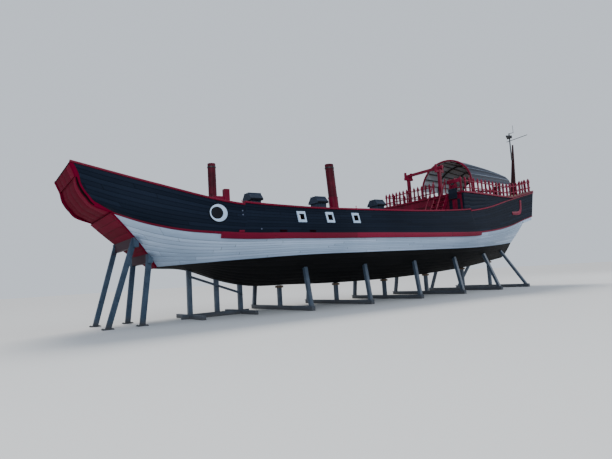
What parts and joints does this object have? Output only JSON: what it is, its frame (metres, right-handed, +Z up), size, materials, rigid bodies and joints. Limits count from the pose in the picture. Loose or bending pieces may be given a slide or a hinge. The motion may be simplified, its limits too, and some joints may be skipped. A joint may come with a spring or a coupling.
{
  "type": "wooden chinese war junk on a steel cradle",
  "caption": "Wooden junk with cut-down masts, stern cabin, poop awning and deck houses, laid up ashore on a steel cradle, with opening doors, turning windlass and steering rudder.",
  "frame": {"origin": "on the ground under the middle of the ship", "axes": "+X towards the bow, +Y to port, +Z up"},
  "size_m": [30, 7.921, 11.5],
  "materials": {
    "black_planking": "weathered satin paint",
    "white_planking": "weathered satin paint",
    "red_paint": "weathered satin paint",
    "bottom_paint": "dull tarred paint",
    "deck_planking": "bare weathered wood",
    "dark_red_wood": "weathered paint",
    "roof_covering": "painted canvas",
    "cradle_steel": "weathered paint",
    "dark_metal": "satin paint"
  },
  "bodies": {
    "root": {"hull_bottom": "bottom_paint", "hull_side": "white_planking", "wale_port": "red_paint", "wale_starboard": "red_paint", "topside_port": "black_planking", "topside_starboard": "black_planking", "rail_port": "red_paint", "rail_starboard": "red_paint", "cheek_port": "red_paint", "cheek_starboard": "red_paint", "poop_side_port": "black_planking", "poop_side_starboard": "black_planking", "eye_port": "white_planking", "eye_starboard": "white_planking", "main_deck": "deck_planking", "bow_plate": "red_paint", "bow_apron": "red_paint", "breast_board": "red_paint", "poop_deck": "red_paint", "poop_bulkhead": "red_paint", "stern_bulkhead": "black_planking", "stern_board": "black_planking", "balustrade_front_starboard": "red_paint", "balustrade_front_port": "red_paint", "balustrade_port": "red_paint", "balustrade_starboard": "red_paint", "balustrade_stern": "red_paint", "poop_ladder": "red_paint", "fore_mast": "dark_red_wood", "main_mast": "dark_red_wood", "mast_tabernacle": "red_paint", "mizzen_mast": "dark_red_wood", "antenna_pole": "dark_metal", "windlass_bitt_port": "red_paint", "windlass_bitt_starboard": "red_paint", "companion_1": "dark_red_wood", "companion_2": "dark_red_wood", "companion_3": "dark_red_wood", "gallows": "red_paint", "awning_frame": "red_paint", "awning_shell": "roof_covering", "cradle_frame_1": "cradle_steel", "cradle_frame_2": "cradle_steel", "cradle_frame_3": "cradle_steel", "cradle_frame_4": "cradle_steel", "cradle_frame_5": "cradle_steel", "cradle_frame_6": "cradle_steel", "cradle_keel_posts": "cradle_steel", "cradle_bow_prop_1": "cradle_steel", "cradle_bow_prop_2": "cradle_steel"},
    "cabin_door_port": {"cabin_door_port": "dark_red_wood"},
    "cabin_door_starboard": {"cabin_door_starboard": "dark_red_wood"},
    "companion_1_door": {"companion_1_door": "dark_red_wood"},
    "companion_2_door": {"companion_2_door": "dark_red_wood"},
    "companion_3_door": {"companion_3_door": "dark_red_wood"},
    "windlass_barrel": {"windlass_barrel": "dark_red_wood"},
    "rudder": {"rudder": "dark_red_wood", "tiller": "red_paint"}
  },
  "joints": [
    {"name": "cabin_door_port_hinge", "type": "hinge", "parent": "root", "child": "cabin_door_port", "pos_m": [-5.85, 0.594, 4.7], "axis": [0, 0, 1], "range_deg": [0, 100]},
    {"name": "cabin_door_starboard_hinge", "type": "hinge", "parent": "root", "child": "cabin_door_starboard", "pos_m": [-5.85, -0.594, 4.7], "axis": [0, 0, -1], "range_deg": [0, 100]},
    {"name": "companion_1_door_hinge", "type": "hinge", "parent": "root", "child": "companion_1_door", "pos_m": [6.695, 0.2, 4.5], "axis": [0, 0, 1], "range_deg": [0, 100]},
    {"name": "companion_2_door_hinge", "type": "hinge", "parent": "root", "child": "companion_2_door", "pos_m": [2.665, 0.2, 4.5], "axis": [0, 0, 1], "range_deg": [0, 100]},
    {"name": "companion_3_door_hinge", "type": "hinge", "parent": "root", "child": "companion_3_door", "pos_m": [-1.635, 0.2, 4.5], "axis": [0, 0, 1], "range_deg": [0, 100]},
    {"name": "windlass_turn", "type": "hinge", "parent": "root", "child": "windlass_barrel", "pos_m": [9.02, 0, 5.12], "axis": [0, 1, 0], "continuous": true},
    {"name": "rudder_steer", "type": "hinge", "parent": "root", "child": "rudder", "pos_m": [-13.92, 0, 6.5], "axis": [0, 0, 1], "range_deg": [-35, 35]}
  ]
}
